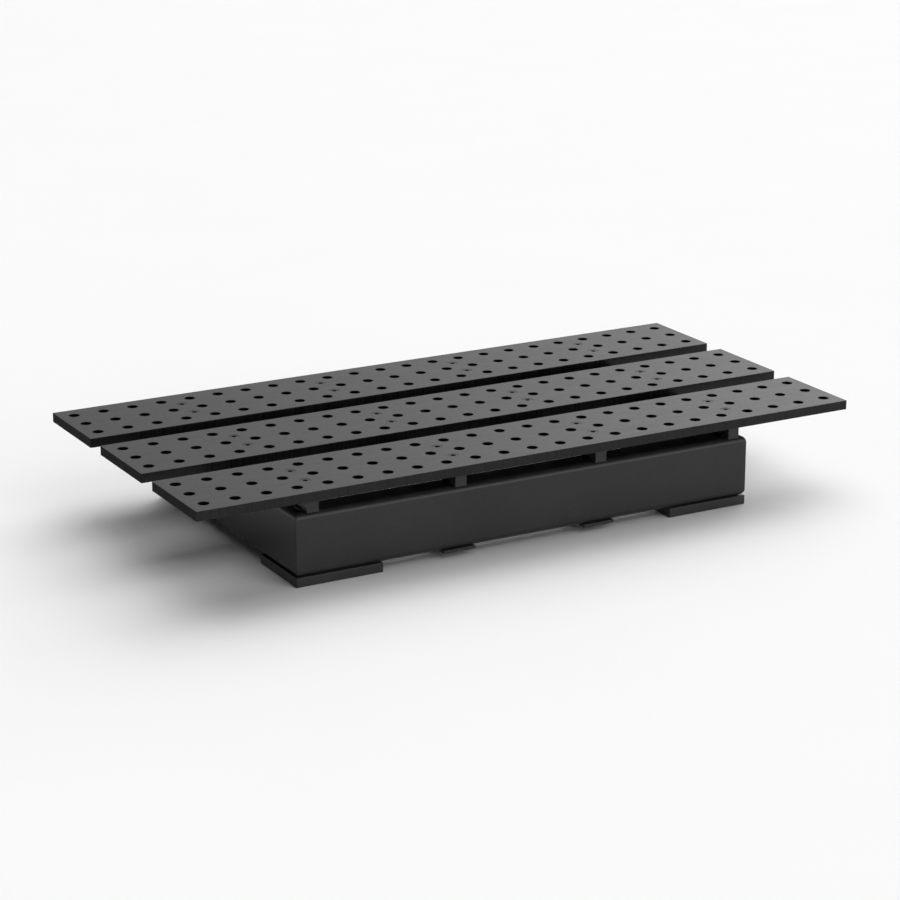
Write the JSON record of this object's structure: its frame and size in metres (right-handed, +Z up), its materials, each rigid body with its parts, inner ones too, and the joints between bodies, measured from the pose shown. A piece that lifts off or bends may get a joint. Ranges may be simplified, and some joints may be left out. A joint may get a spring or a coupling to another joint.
{
  "type": "welding table top",
  "caption": "Black steel welding table top: three perforated fixture slats with gaps between them, screwed to crossbars on a mitred box-section frame with corner mounting plates.",
  "frame": {"origin": "under the middle of the table top, level with the undersides of the four corner plates", "axes": "+X along the slats to the right, +Y from the front to the rear, +Z up"},
  "size_m": [1.15, 0.56, 0.158],
  "materials": {
    "slat_steel": "satin black",
    "screw_steel": "satin black oxide",
    "frame_paint": "satin black powder coat",
    "weld_metal": "satin black powder coat over the weld beads"
  },
  "bodies": {
    "root": {"slat_front": "slat_steel", "slat_middle": "slat_steel", "slat_rear": "slat_steel", "slat_screws_front": "screw_steel", "slat_screws_middle": "screw_steel", "slat_screws_rear": "screw_steel", "crossbar_left_outer": "frame_paint", "crossbar_left_inner": "frame_paint", "crossbar_right_inner": "frame_paint", "crossbar_right_outer": "frame_paint", "frame_rail_front": "frame_paint", "frame_rail_rear": "frame_paint", "frame_rail_left": "frame_paint", "frame_rail_right": "frame_paint", "corner_plate_front_left": "frame_paint", "corner_plate_front_right": "frame_paint", "corner_plate_rear_left": "frame_paint", "corner_plate_rear_right": "frame_paint", "lug_front_left": "frame_paint", "lug_front_right": "frame_paint", "lug_rear_left": "frame_paint", "lug_rear_right": "frame_paint", "frame_corner_welds": "weld_metal", "crossbar_welds": "weld_metal", "corner_plate_welds": "weld_metal", "lug_welds": "weld_metal"}
  },
  "joints": []
}
